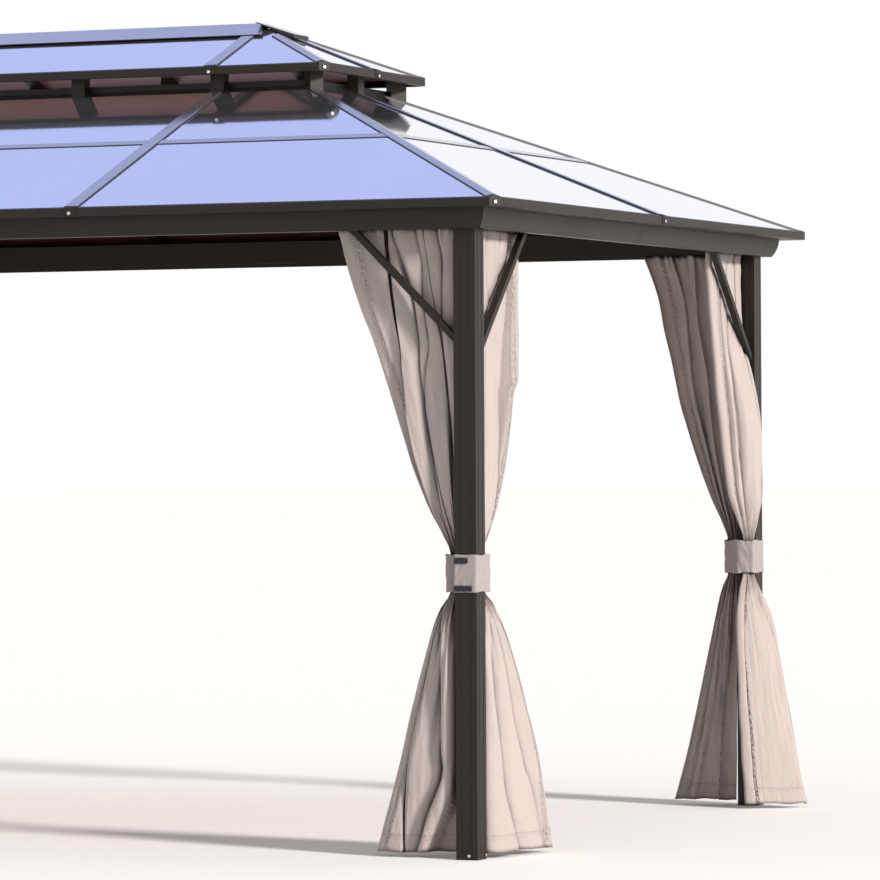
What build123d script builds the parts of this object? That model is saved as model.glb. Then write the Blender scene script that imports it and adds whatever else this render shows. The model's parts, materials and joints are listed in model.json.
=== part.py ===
from build123d import *
from math import atan, cos, sqrt
import os

# Driving sizes of the gazebo, in millimetres. X runs along its long side, Y along its short side, and
# the origin is on the floor at the middle. s is a distance in plan, measured inward from an eave face.

# Plan
frame_length = 4120  # over the outer faces of the posts, along X
frame_width = 2960  # over the outer faces of the posts, along Y
eave_reach = 145  # from the outer face of a post out to the face of the lower eave
upper_eave_inset = 1146  # from the lower eave face in to the upper eave face

# Heights
beam_bottom = 2187
cove_bottom = 2165
lower_trim_bottom = 2234
vent_ring_rise = 21  # from the lower panels up to the top of the vent ring, at its outer face
vent_gap = 23
trim_height = 28
roof_slope = 0.4  # rise over run, the same on every side of both tiers

# Posts and beams
post_size = 80
post_wall = 2
post_groove_width = 4
post_groove_depth = 0.8
post_groove_line = 18  # from the middle of a face to a groove
foot_thickness = 5
beam_width = 80
beam_wall = 2

# Curtain rails
rail_width = 24
rail_height = 10
rail_wall = 2
rail_end_gap = 0.3
rail_line = 60  # from the outer face of a post in to the middle of a rail

# Knee braces
long_side_brace_reach = 383  # from the post along the beam, and from the beam down the post
short_side_brace_reach = 417
brace_depth = 22
brace_width = 25
brace_line = 20  # from the outer face of a post in to the middle of a brace

# Roof build-up
panel_thickness = 8
panel_edge_gap = 0.3
panel_joint_gap = 4  # from the line of a hip or ridge to the edge of a panel
rafter_width = 40
rafter_depth = 40
rafter_start = 100  # from the lower eave face
upper_rafter_depth = 24
trim_wall = 3
trim_lip = 12
trim_ledge = 25
soffit_depth = 97
soffit_thickness = 2

# Caps and strips over the joints between the panels
cap_width = 50
cap_height = 7
cap_bevel = 2
hip_cap_width = 50
hip_cap_height = 5
hip_cap_joint = 118  # in plan, from the end of the ridge to the ends of the hip caps
joint_start = 653  # from the lower eave face in to the strip across the lower panels
joint_width = 38
joint_thickness = 3
joint_gap = 0.3  # from a strip to the caps beside it

# Plates that close the lower ends of the caps
clip_width = 46
clip_thickness = 2
corner_cut = 32  # along each face, from the sharp corner of an eave to the plate across it

# Cove fascia under the lower eave
cove_wall = 2
cove_top_reach = 57  # from the outer face of a post
cove_middle_reach = 51
cove_bottom_reach = 34
cove_middle_drop = 36
cove_leg = 25  # the part that stands against the beam
cove_splice_gap = 3
cove_splice_line = 1392  # from the middle of a short side to the splice near its back end

# Vent between the two tiers
vent_ring_inset = 116  # from the upper eave face in to the ring
vent_ring_width = 40
vent_ring_depth = 105
vent_ring_wall = 2
bracket_length = 55
bracket_depth = 45  # from the outer face of the ring out to that of a bracket

# Ridge
ridge_beam_depth = 50
ridge_beam_width = 40
ridge_cap_half_width = 135
ridge_cap_flare = 60  # how much further its lower edges run than the ridge
ridge_cap_thickness = 3
ridge_cap_end_reach = 162
ridge_cap_end_half_width = 65
ridge_cap_end_rise = 12  # by which the tip of an end piece is thicker than the sheet
ridge_cap_joint = 40  # from the line of the ridge to the ends of the caps under it

# Corner curtains, each of a long-side panel and a short-side panel, tied back round the post
curtain_gap = 1  # from the rail and the post
curtain_floor_gap = 15
curtain_thickness = 36
curtain_top_length = 440
curtain_waist_length = 62
curtain_belly_height = 1170  # where a short-side panel still hangs wide, just above the tie
curtain_belly_length = 249
curtain_hem_length_long_side = 334
curtain_hem_length_short_side = 380
curtain_hem_inward = 30
curtain_hem_outward = 140
tie_height = 982
tie_band = 128
tie_thickness = 4
tie_gap = 0.3

# Construction
least_edge = 1  # the shortest edge of a mitred plan

# Worked-out sizes
roof_length = frame_length + 2 * eave_reach
roof_width = frame_width + 2 * eave_reach
panel_drop = panel_thickness / cos(atan(roof_slope))
rafter_drop = rafter_depth / cos(atan(roof_slope))
upper_rafter_drop = upper_rafter_depth / cos(atan(roof_slope))
hip_slope = roof_slope / sqrt(2)
hip_drop = hip_slope * rafter_width / 2
ring_start = upper_eave_inset + vent_ring_inset
ring_end = ring_start + vent_ring_width
upper_half_length = roof_length / 2 - upper_eave_inset
upper_half_width = roof_width / 2 - upper_eave_inset
rafter_offset = upper_half_length - upper_half_width  # the rafters of the long sides stand at the ridge's ends
ridge_start = upper_half_width - ridge_beam_width / 2
ridge_cap_drop = ridge_cap_thickness / cos(atan(roof_slope))
upper_cap_end = upper_half_width - ridge_cap_joint
upper_hip_start = trim_ledge + rafter_width / 2 / sqrt(2)


def lower_plane(s):
    """Height of the top face of the lower panels."""
    return lower_trim_bottom + trim_height - trim_wall + roof_slope * s


def upper_plane(s):
    """Height of the top face of the upper panels, with s from the upper eave face."""
    return upper_trim_bottom + trim_height - trim_wall + roof_slope * s


beam_top = lower_plane(eave_reach) - panel_drop - rafter_drop
vent_ring_top = lower_plane(ring_start) + vent_ring_rise
upper_trim_bottom = vent_ring_top + vent_gap

# Sides of the gazebo: the way inward and the way along each of them
INWARD = {"front": (0, 1), "back": (0, -1), "right": (-1, 0), "left": (1, 0)}
ALONG = {"front": (1, 0), "back": (-1, 0), "right": (0, 1), "left": (0, -1)}
LONG_SIDES = ("front", "back")
SHORT_SIDES = ("right", "left")
SIDES = tuple(INWARD)
CORNERS = {"front_left": (-1, -1), "front_right": (1, -1), "back_left": (-1, 1), "back_right": (1, 1)}


def half_run(side, inset=0):
    """Half the length of a side, along the line that lies inset from the lower eave face."""
    return (roof_length if side in LONG_SIDES else roof_width) / 2 - inset


def side_point(side, along, s):
    """The point of the plan that lies along a side and s inward from its eave face."""
    depth = (roof_width if side in LONG_SIDES else roof_length) / 2 - s
    ax, ay = ALONG[side]
    ix, iy = INWARD[side]
    return ax * along - ix * depth, ay * along - iy * depth


def section_plane(side, along=0, s=0):
    """A vertical plane across a side: its x runs inward and its y runs up."""
    x, y = side_point(side, along, s)
    return Plane(origin=(x, y, 0), x_dir=(*INWARD[side], 0), z_dir=(*ALONG[side], 0))


def elevation_plane(side, s):
    """A vertical plane along a side: its x runs along it and its y runs up."""
    x, y = side_point(side, 0, s)
    ix, iy = INWARD[side]
    return Plane(origin=(x, y, 0), x_dir=(*ALONG[side], 0), z_dir=(-ix, -iy, 0))


def plan_plane(side, s=0):
    """The floor plane of a side: its x runs along it and its y runs inward."""
    x, y = side_point(side, 0, s)
    return Plane(origin=(x, y, 0), x_dir=(*ALONG[side], 0), z_dir=(0, 0, 1))


def hip_plane(corner, s=0):
    """A vertical plane through a hip: its x runs inward on the diagonal and its y runs up."""
    sx, sy = CORNERS[corner]
    x = sx * (roof_length / 2 - s)
    y = sy * (roof_width / 2 - s)
    return Plane(origin=(x, y, 0), x_dir=(-sx, -sy, 0), z_dir=(-sy, sx, 0))


def outline(plane, points):
    """A closed polygon on a plane."""
    with BuildSketch(plane) as drawing:
        with BuildLine():
            Polyline(*points, close=True)
        make_face()
    return drawing.sketch


def box_outline(plane, low, high, wall=0):
    """A rectangle between two corners on a plane, or the frame of a box section with a wall."""
    with BuildSketch(plane) as drawing:
        middle = ((low[0] + high[0]) / 2, (low[1] + high[1]) / 2)
        with Locations(middle):
            Rectangle(high[0] - low[0], high[1] - low[1])
            if wall:
                Rectangle(high[0] - low[0] - 2 * wall, high[1] - low[1] - 2 * wall, mode=Mode.SUBTRACT)
    return drawing.sketch


def mitre_outline(side, inset, reach, gap=0, cut=0):
    """The plan of one side between its two hips, from inset to reach, less a gap along each hip and a cut corner."""
    slip = gap * sqrt(2)
    far = min(reach, half_run(side) - slip - least_edge)
    knee = inset + max(cut - slip, 0) / 2
    near_half = half_run(side, inset) - max(cut, slip)
    knee_half = half_run(side, knee) - slip
    far_half = half_run(side, far) - slip
    right = [(near_half, inset), (knee_half, knee), (far_half, far)] if cut else [(near_half, inset), (far_half, far)]
    return outline(plan_plane(side), right + [(-along, s) for along, s in reversed(right)])


def sloped_outline(plane, start, end, top, drop):
    """A band under a sloping line, with upright ends."""
    return outline(plane, [(start, top(start) - drop), (end, top(end) - drop), (end, top(end)), (start, top(start))])


def trim_outline(plane, bottom, height_of, inner_reach, floor_thickness):
    """An eave trim: a face, a lip over the panel, a ledge under it, and a soffit."""
    under = panel_drop
    points = [
        (0, bottom),
        (0, height_of(0) + trim_wall),
        (trim_lip, height_of(trim_lip) + trim_wall),
        (trim_lip, height_of(trim_lip)),
        (trim_wall, height_of(trim_wall)),
        (trim_wall, height_of(trim_wall) - under),
        (trim_ledge, height_of(trim_ledge) - under),
        (trim_ledge, height_of(trim_ledge) - under - trim_wall),
        (trim_wall, height_of(trim_wall) - under - trim_wall),
        (trim_wall, bottom + floor_thickness),
        (inner_reach, bottom + floor_thickness),
        (inner_reach, bottom),
    ]
    return outline(plane, points)


def mitred_run(side, section, inset, reach, gap=0, cut=0):
    """A section run along a side and cut at its two hips, less a gap along each hip and a cut corner."""
    with BuildPart() as run:
        extrude(section, amount=half_run(side), both=True)
        extrude(mitre_outline(side, inset, reach, gap, cut), amount=2 * upper_trim_bottom, mode=Mode.INTERSECT)
    return run.part


os.makedirs("parts", exist_ok=True)

# Posts: box tubes on closed feet, with two shallow grooves down each face
for corner, (sx, sy) in CORNERS.items():
    middle = (sx * (frame_length - post_size) / 2, sy * (frame_width - post_size) / 2)
    with BuildPart() as post:
        with BuildSketch(Plane.XY):
            with Locations(middle):
                Rectangle(post_size, post_size)
        extrude(amount=beam_bottom)
        with BuildSketch(Plane.XY.offset(foot_thickness)):
            with Locations(middle):
                Rectangle(post_size - 2 * post_wall, post_size - 2 * post_wall)
        extrude(amount=beam_bottom, mode=Mode.SUBTRACT)
        with BuildSketch(Plane.XY):
            with Locations(middle):
                for line in (-post_groove_line, post_groove_line):
                    for face in (-post_size / 2, post_size / 2):
                        with Locations((face, line)):
                            Rectangle(2 * post_groove_depth, post_groove_width)
                        with Locations((line, face)):
                            Rectangle(post_groove_width, 2 * post_groove_depth)
        extrude(amount=beam_bottom, mode=Mode.SUBTRACT)
    post.part.label = f"post_{corner}"
    export_step(post.part, f"parts/post_{corner}.step")

# Beams: box tubes on the posts, the short ones between the long ones
for side in SIDES:
    butt = 0 if side in LONG_SIDES else beam_width
    with BuildPart() as beam:
        extrude(
            box_outline(
                section_plane(side),
                (eave_reach, beam_bottom),
                (eave_reach + beam_width, beam_top),
                beam_wall,
            ),
            amount=half_run(side, eave_reach) - butt,
            both=True,
        )
    beam.part.label = f"beam_{side}"
    export_step(beam.part, f"parts/beam_{side}.step")

# Curtain rails: channels under the middle of the beams, open below
with BuildPart() as curtain_rails:
    for side in SIDES:
        low = eave_reach + rail_line - rail_width / 2
        rail_half = half_run(side, eave_reach + post_size) - rail_end_gap
        extrude(
            box_outline(section_plane(side), (low, beam_bottom - rail_height), (low + rail_width, beam_bottom)),
            amount=rail_half,
            both=True,
        )
        extrude(
            box_outline(
                section_plane(side),
                (low + rail_wall, beam_bottom - rail_height),
                (low + rail_width - rail_wall, beam_bottom - rail_wall),
            ),
            amount=rail_half,
            both=True,
            mode=Mode.SUBTRACT,
        )
curtain_rails.part.label = "curtain_rails"
export_step(curtain_rails.part, "parts/curtain_rails.step")

# Knee braces: two on each side, from the post to the beam
with BuildPart() as knee_braces:
    skew = brace_depth * sqrt(2)
    for side in SIDES:
        face = half_run(side, eave_reach + post_size)
        reach = long_side_brace_reach if side in LONG_SIDES else short_side_brace_reach
        for way in (-1, 1):
            extrude(
                outline(
                    elevation_plane(side, eave_reach + brace_line),
                    [
                        (way * face, beam_bottom - reach),
                        (way * face, beam_bottom - reach - skew),
                        (way * (face - reach - skew), beam_bottom),
                        (way * (face - reach), beam_bottom),
                    ],
                ),
                amount=brace_width / 2,
                both=True,
            )
knee_braces.part.label = "knee_braces"
export_step(knee_braces.part, "parts/knee_braces.step")

# Cove fascias: a curved sheet that stands against the beam and carries the eave, spliced on the short sides
cove_top_s = eave_reach - cove_top_reach
cove_middle_s = eave_reach - cove_middle_reach
cove_bottom_s = eave_reach - cove_bottom_reach
cove_splices = {"right": (0, cove_splice_line), "left": (0, -cove_splice_line)}
for side in SIDES:
    with BuildSketch(section_plane(side)) as cove_section:
        with BuildLine():
            ThreePointArc(
                (cove_top_s, lower_trim_bottom),
                (cove_middle_s, lower_trim_bottom - cove_middle_drop),
                (cove_bottom_s, cove_bottom),
            )
            Polyline(
                (cove_bottom_s, cove_bottom),
                (eave_reach, cove_bottom),
                (eave_reach, beam_bottom + cove_leg),
                (eave_reach - cove_wall, beam_bottom + cove_leg),
                (eave_reach - cove_wall, cove_bottom + cove_wall),
                (cove_bottom_s + cove_wall, cove_bottom + cove_wall),
            )
            ThreePointArc(
                (cove_bottom_s + cove_wall, cove_bottom + cove_wall),
                (cove_middle_s + cove_wall, lower_trim_bottom - cove_middle_drop),
                (cove_top_s + cove_wall, lower_trim_bottom),
            )
            Line((cove_top_s + cove_wall, lower_trim_bottom), (cove_top_s, lower_trim_bottom))
        make_face()
    with BuildPart() as cove:
        add(mitred_run(side, cove_section.sketch, 0, eave_reach + cove_wall))
        for place in cove_splices.get(side, ()):
            extrude(
                box_outline(section_plane(side, place), (0, cove_bottom), (eave_reach, lower_trim_bottom)),
                amount=cove_splice_gap / 2,
                both=True,
                mode=Mode.SUBTRACT,
            )
    cove.part.label = f"cove_{side}"
    export_step(cove.part, f"parts/cove_{side}.step")

# Lower eave trims, mitred and cut off at the corners, with the soffit that lies on the cove
for side in SIDES:
    eave_section = trim_outline(section_plane(side), lower_trim_bottom, lower_plane, soffit_depth, soffit_thickness)
    with BuildPart() as lower_eave:
        add(mitred_run(side, eave_section, 0, soffit_depth + trim_ledge, 0, corner_cut))
    lower_eave.part.label = f"lower_eave_{side}"
    export_step(lower_eave.part, f"parts/lower_eave_{side}.step")


def rafter_places(side):
    """Where the rafters of a side stand along it."""
    return (-rafter_offset, rafter_offset) if side in LONG_SIDES else (0,)


def lower_underside(s):
    """Height of the underside of the lower panels."""
    return lower_plane(s) - panel_drop


def upper_underside(s):
    """Height of the underside of the upper panels, with s from the upper eave face."""
    return upper_plane(s) - panel_drop


# Lower rafters: hips to the corners of the vent ring and rafters to its sides
with BuildPart() as lower_rafters:
    for side in SIDES:
        for place in rafter_places(side):
            extrude(
                sloped_outline(section_plane(side, place), rafter_start, ring_start, lower_underside, rafter_drop),
                amount=rafter_width / 2,
                both=True,
            )
    for corner in CORNERS:
        start = rafter_start
        end = ring_end
        points = [
            (start * sqrt(2), lower_underside(start) - rafter_drop),
            (end * sqrt(2), lower_underside(end) - rafter_drop),
            (end * sqrt(2), lower_underside(end) - hip_drop),
            (start * sqrt(2), lower_underside(start) - hip_drop),
        ]
        extrude(outline(hip_plane(corner), points), amount=rafter_width / 2, both=True)
    with BuildSketch(Plane.XY):
        Rectangle(roof_length - 2 * ring_start, roof_width - 2 * ring_start)
    extrude(amount=upper_plane(upper_half_width), mode=Mode.SUBTRACT)
lower_rafters.part.label = "lower_rafters"
export_step(lower_rafters.part, "parts/lower_rafters.step")

# Vent ring: four box tubes that close the top of the lower tier
for name, sides in (("vent_ring_long", LONG_SIDES), ("vent_ring_short", SHORT_SIDES)):
    with BuildPart() as vent_ring:
        for side in sides:
            extrude(
                box_outline(
                    section_plane(side),
                    (ring_start, vent_ring_top - vent_ring_depth),
                    (ring_end, vent_ring_top),
                    vent_ring_wall,
                ),
                amount=half_run(side, ring_start if side in LONG_SIDES else ring_end),
                both=True,
            )
    vent_ring.part.label = name
    export_step(vent_ring.part, f"parts/{name}.step")

# Lower panels: one sheet a side, from the eave to the ring
for side in SIDES:
    start = trim_wall + panel_edge_gap
    end = ring_start - panel_edge_gap
    panel_section = sloped_outline(section_plane(side), start, end, lower_plane, panel_drop)
    with BuildPart() as lower_panel:
        add(mitred_run(side, panel_section, 0, ring_start, panel_joint_gap, corner_cut))
    lower_panel.part.label = f"lower_panel_{side}"
    export_step(lower_panel.part, f"parts/lower_panel_{side}.step")

# Strips across the lower panels, over the joints of their sheets
with BuildPart() as panel_joints:
    for side in SIDES:
        strip_section = sloped_outline(
            section_plane(side),
            joint_start,
            joint_start + joint_width,
            lambda s: lower_plane(s) + joint_thickness,
            joint_thickness,
        )
        add(mitred_run(side, strip_section, 0, ring_start, hip_cap_width / 2 + joint_gap))
    for side in SIDES:
        for place in rafter_places(side):
            extrude(
                box_outline(section_plane(side, place), (0, 0), (ring_start, upper_trim_bottom)),
                amount=cap_width / 2 + joint_gap,
                both=True,
                mode=Mode.SUBTRACT,
            )
panel_joints.part.label = "panel_joints"
export_step(panel_joints.part, "parts/panel_joints.step")


def rafter_cap_outline(side, place, s, base):
    """The flat-topped section of a rafter cap, on an upright plane along a side."""
    half = cap_width / 2
    shoulder = cap_height - cap_bevel
    points = [
        (-half, 0),
        (half, 0),
        (half, shoulder),
        (half - cap_bevel, cap_height),
        (cap_bevel - half, cap_height),
        (-half, shoulder),
    ]
    return outline(elevation_plane(side, s), [(place + x, base + z) for x, z in points])


def rafter_direction(side):
    """The way up a rafter, with a plan run of one."""
    return Vector(*INWARD[side], roof_slope)


# Lower rafter caps: flat-topped profiles over the rafters, from the eave's lip to the ring
with BuildPart() as lower_rafter_caps:
    for side in SIDES:
        way = rafter_direction(side)
        for place in rafter_places(side):
            extrude(
                rafter_cap_outline(side, place, trim_lip, lower_plane(trim_lip)),
                amount=(ring_start - trim_lip) * way.length,
                dir=way.normalized(),
            )
lower_rafter_caps.part.label = "lower_rafter_caps"
export_step(lower_rafter_caps.part, "parts/lower_rafter_caps.step")


def hip_section_plane(corner, s):
    """An upright plane square to a hip in plan, s inward from the lower eave faces: its x runs across the hip."""
    sx, sy = CORNERS[corner]
    x = sx * (roof_length / 2 - s)
    y = sy * (roof_width / 2 - s)
    return Plane(origin=(x, y, 0), x_dir=(-sy, sx, 0), z_dir=(sx, sy, 0))


def hip_cap_outline(corner, s, height_of, inset, lift=0):
    """The chevron of a hip cap, with its underside lifted off the panels."""
    half = hip_cap_width / 2
    edge = height_of(s) - hip_slope * half
    peak = height_of(s)
    points = [
        (-half, edge + lift),
        (0, peak + lift),
        (half, edge + lift),
        (half, edge + hip_cap_height),
        (0, peak + hip_cap_height),
        (-half, edge + hip_cap_height),
    ]
    return outline(hip_section_plane(corner, inset + s), points)


def hip_direction(corner):
    """The way up a hip, with a plan run of one along X and along Y."""
    sx, sy = CORNERS[corner]
    return Vector(-sx, -sy, roof_slope)


# Lower hip caps: chevrons over the hips, from the eave to the ring
hip_cap_start = trim_lip + hip_cap_width / 2 / sqrt(2)
with BuildPart() as lower_hip_caps:
    for corner in CORNERS:
        way = hip_direction(corner)
        run = ring_start + vent_ring_width / 2 - hip_cap_start
        extrude(hip_cap_outline(corner, hip_cap_start, lower_plane, 0), amount=run * way.length, dir=way.normalized())
    with BuildSketch(Plane.XY):
        Rectangle(roof_length - 2 * ring_start, roof_width - 2 * ring_start)
    extrude(amount=upper_plane(upper_half_width), mode=Mode.SUBTRACT)
lower_hip_caps.part.label = "lower_hip_caps"
export_step(lower_hip_caps.part, "parts/lower_hip_caps.step")

# Vent brackets: blocks outside the ring, from the lower caps and panels up to the upper rafters and panels
with BuildPart() as vent_brackets:
    outer = ring_start - bracket_depth
    for side in SIDES:
        for place in (-rafter_offset, 0, rafter_offset) if side in LONG_SIDES else (0,):
            on_rafter = place in rafter_places(side)
            base = cap_height if on_rafter else 0
            drop = upper_rafter_drop if on_rafter else 0
            points = [
                (outer, lower_plane(outer) + base),
                (ring_start, lower_plane(ring_start) + base),
                (ring_start, upper_underside(ring_start - upper_eave_inset) - drop),
                (outer, upper_underside(outer - upper_eave_inset) - drop),
            ]
            extrude(outline(section_plane(side, place), points), amount=bracket_length / 2, both=True)
    for corner in CORNERS:
        way = hip_direction(corner)
        half = hip_cap_width / 2
        peak = lower_plane(outer) + hip_cap_height
        top = upper_underside(outer - upper_eave_inset) - upper_rafter_drop
        points = [
            (-half, peak - hip_slope * half),
            (0, peak),
            (half, peak - hip_slope * half),
            (half, top),
            (-half, top),
        ]
        face = outline(hip_section_plane(corner, outer), points)
        extrude(face, amount=bracket_depth * way.length, dir=way.normalized())
vent_brackets.part.label = "vent_brackets"
export_step(vent_brackets.part, "parts/vent_brackets.step")

# Upper eave trims, mitred and cut off at the corners
for name, sides in (("upper_eave_long", LONG_SIDES), ("upper_eave_short", SHORT_SIDES)):
    with BuildPart() as upper_eave:
        for side in sides:
            plane = section_plane(side, 0, upper_eave_inset)
            eave_section = trim_outline(plane, upper_trim_bottom, upper_plane, trim_ledge, soffit_thickness)
            add(mitred_run(side, eave_section, upper_eave_inset, upper_eave_inset + 2 * trim_ledge, 0, corner_cut))
    upper_eave.part.label = name
    export_step(upper_eave.part, f"parts/{name}.step")

# Ridge beam: a box tube under the joint of the upper panels
ridge_beam_top = upper_underside(ridge_start)
ridge_beam_half = upper_half_length - ridge_start
with BuildPart() as ridge_beam:
    extrude(
        box_outline(
            section_plane("front", 0, upper_eave_inset),
            (ridge_start, ridge_beam_top - ridge_beam_depth),
            (ridge_start + ridge_beam_width, ridge_beam_top),
            beam_wall,
        ),
        amount=ridge_beam_half,
        both=True,
    )
ridge_beam.part.label = "ridge_beam"
export_step(ridge_beam.part, "parts/ridge_beam.step")

# Upper rafters: from the ledge of the upper eave trim to the ridge beam
with BuildPart() as upper_rafters:
    for side in SIDES:
        end = ridge_start if side in LONG_SIDES else upper_half_length - rafter_offset - rafter_width / 2
        for place in rafter_places(side):
            plane = section_plane(side, place, upper_eave_inset)
            extrude(
                sloped_outline(plane, trim_ledge, end, upper_underside, upper_rafter_drop),
                amount=rafter_width / 2,
                both=True,
            )
upper_rafters.part.label = "upper_rafters"
export_step(upper_rafters.part, "parts/upper_rafters.step")

# Upper hips: from the corners of the upper eave trim to the outer faces of the end rafters
with BuildPart() as upper_hips:
    for corner in CORNERS:
        points = [
            (upper_hip_start * sqrt(2), upper_underside(upper_hip_start) - upper_rafter_drop),
            (upper_half_width * sqrt(2), upper_underside(upper_half_width) - upper_rafter_drop),
            (upper_half_width * sqrt(2), upper_underside(upper_half_width) - hip_drop),
            (upper_hip_start * sqrt(2), upper_underside(upper_hip_start) - hip_drop),
        ]
        extrude(outline(hip_plane(corner, upper_eave_inset), points), amount=rafter_width / 2, both=True)
    with BuildSketch(Plane.XY):
        Rectangle(2 * rafter_offset + rafter_width, roof_width)
        Rectangle(roof_length, rafter_width)
    extrude(amount=2 * upper_trim_bottom, mode=Mode.SUBTRACT)
upper_hips.part.label = "upper_hips"
export_step(upper_hips.part, "parts/upper_hips.step")

# Upper panels: two sheets that meet at the ridge and two that close its ends
for name, sides in (("upper_panels_long", LONG_SIDES), ("upper_panels_short", SHORT_SIDES)):
    with BuildPart() as upper_panels:
        for side in sides:
            end = upper_half_width - (panel_joint_gap if side in LONG_SIDES else ridge_beam_width / 2)
            plane = section_plane(side, 0, upper_eave_inset)
            panel_section = sloped_outline(plane, trim_wall + panel_edge_gap, end, upper_plane, panel_drop)
            reach = upper_eave_inset + end + panel_edge_gap
            add(mitred_run(side, panel_section, upper_eave_inset, reach, panel_joint_gap, corner_cut))
    upper_panels.part.label = name
    export_step(upper_panels.part, f"parts/{name}.step")

# Upper rafter caps, up to the ridge cap and on under it
with BuildPart() as upper_rafter_caps:
    for side in SIDES:
        way = rafter_direction(side)
        for place in rafter_places(side):
            extrude(
                rafter_cap_outline(side, place, upper_eave_inset + trim_lip, upper_plane(trim_lip)),
                amount=(upper_cap_end - trim_lip) * way.length,
                dir=way.normalized(),
            )
upper_rafter_caps.part.label = "upper_rafter_caps"
export_step(upper_rafter_caps.part, "parts/upper_rafter_caps.step")

# Upper hip caps, from the upper eave to just short of the ridge cap
with BuildPart() as upper_hip_caps:
    for corner in CORNERS:
        way = hip_direction(corner)
        run = upper_half_width - hip_cap_joint - hip_cap_start
        start_face = hip_cap_outline(corner, hip_cap_start, upper_plane, upper_eave_inset)
        extrude(start_face, amount=run * way.length, dir=way.normalized())
upper_hip_caps.part.label = "upper_hip_caps"
export_step(upper_hip_caps.part, "parts/upper_hip_caps.step")


def corner_plate(corner, bottom, height_of, inset):
    """A plate across the cut corner of an eave, with a chevron over the lips up to the end of the hip cap."""
    way = hip_direction(corner)
    start = corner_cut / 2
    half = corner_cut / sqrt(2)
    peak = height_of(start) + hip_cap_height
    edge = peak - hip_slope * half
    points = [(-half, bottom), (half, bottom), (half, edge), (0, peak), (-half, edge)]
    with BuildPart() as plate:
        extrude(outline(hip_section_plane(corner, inset + start), points), amount=clip_thickness)
        extrude(
            hip_cap_outline(corner, start, height_of, inset, trim_wall),
            amount=(hip_cap_start - start) * way.length,
            dir=way.normalized(),
        )
        with BuildSketch(Plane.XY):
            Rectangle(roof_length - 2 * inset, roof_width - 2 * inset)
        extrude(amount=2 * upper_trim_bottom, mode=Mode.INTERSECT)
    return plate.part


# Plates that close the lower ends of the rafter caps and the hip caps, on the faces of both eaves
tiers = ((0, lower_trim_bottom, lower_plane), (upper_eave_inset, upper_trim_bottom, upper_plane))
with BuildPart() as cap_end_plates:
    for inset, bottom, height_of in tiers:
        points = [
            (-clip_thickness, bottom),
            (0, bottom),
            (0, height_of(0) + trim_wall),
            (trim_lip, height_of(trim_lip) + trim_wall),
            (trim_lip, height_of(trim_lip) + cap_height),
            (-clip_thickness, height_of(-clip_thickness) + cap_height),
        ]
        for side in SIDES:
            for place in rafter_places(side):
                extrude(outline(section_plane(side, place, inset), points), amount=clip_width / 2, both=True)
        for corner in CORNERS:
            add(corner_plate(corner, bottom, height_of, inset))
cap_end_plates.part.label = "cap_end_plates"
export_step(cap_end_plates.part, "parts/cap_end_plates.step")


def ridge_cap_underside(s):
    """Height of the underside of the ridge cap, which lies on the rafter caps."""
    return upper_plane(s) + cap_height


def ridge_cap_topside(s):
    """Height of the top face of the ridge cap."""
    return ridge_cap_underside(s) + ridge_cap_drop


def ridge_cap_slope(side):
    """One slope of the ridge cap, whose lower edge runs on past the ends of the ridge."""
    start = upper_half_width - ridge_cap_half_width
    flare_half = rafter_offset + ridge_cap_flare
    flare_line = upper_eave_inset + start
    ridge_line = upper_eave_inset + upper_half_width
    section = sloped_outline(
        section_plane(side, 0, upper_eave_inset),
        start,
        upper_half_width,
        ridge_cap_topside,
        ridge_cap_drop,
    )
    plan = [
        (-flare_half, flare_line),
        (flare_half, flare_line),
        (rafter_offset, ridge_line),
        (-rafter_offset, ridge_line),
    ]
    with BuildPart() as slope:
        extrude(section, amount=flare_half, both=True)
        extrude(outline(plan_plane(side), plan), amount=2 * upper_trim_bottom, mode=Mode.INTERSECT)
    return slope.part


# Ridge cap: a folded sheet over the ridge, flared at its lower edges, and a thicker end piece down each end
with BuildPart() as ridge_cap:
    for side in LONG_SIDES:
        add(ridge_cap_slope(side))
    for side in SHORT_SIDES:
        tip = upper_half_width - ridge_cap_end_reach
        points = [
            (tip, ridge_cap_underside(tip)),
            (upper_half_width, ridge_cap_underside(upper_half_width)),
            (upper_half_width, ridge_cap_topside(upper_half_width)),
            (tip, ridge_cap_topside(tip) + ridge_cap_end_rise),
        ]
        plane = section_plane(side, 0, upper_eave_inset)
        extrude(outline(plane, points), amount=ridge_cap_end_half_width, both=True)
ridge_cap.part.label = "ridge_cap"
export_step(ridge_cap.part, "parts/ridge_cap.step")


def curtain_levels():
    """The heights at which a curtain changes: under the rail, the two edges of the tie, and the hem."""
    top = beam_bottom - rail_height - curtain_gap
    return top, tie_height + tie_band / 2, tie_height - tie_band / 2, curtain_floor_gap


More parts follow.
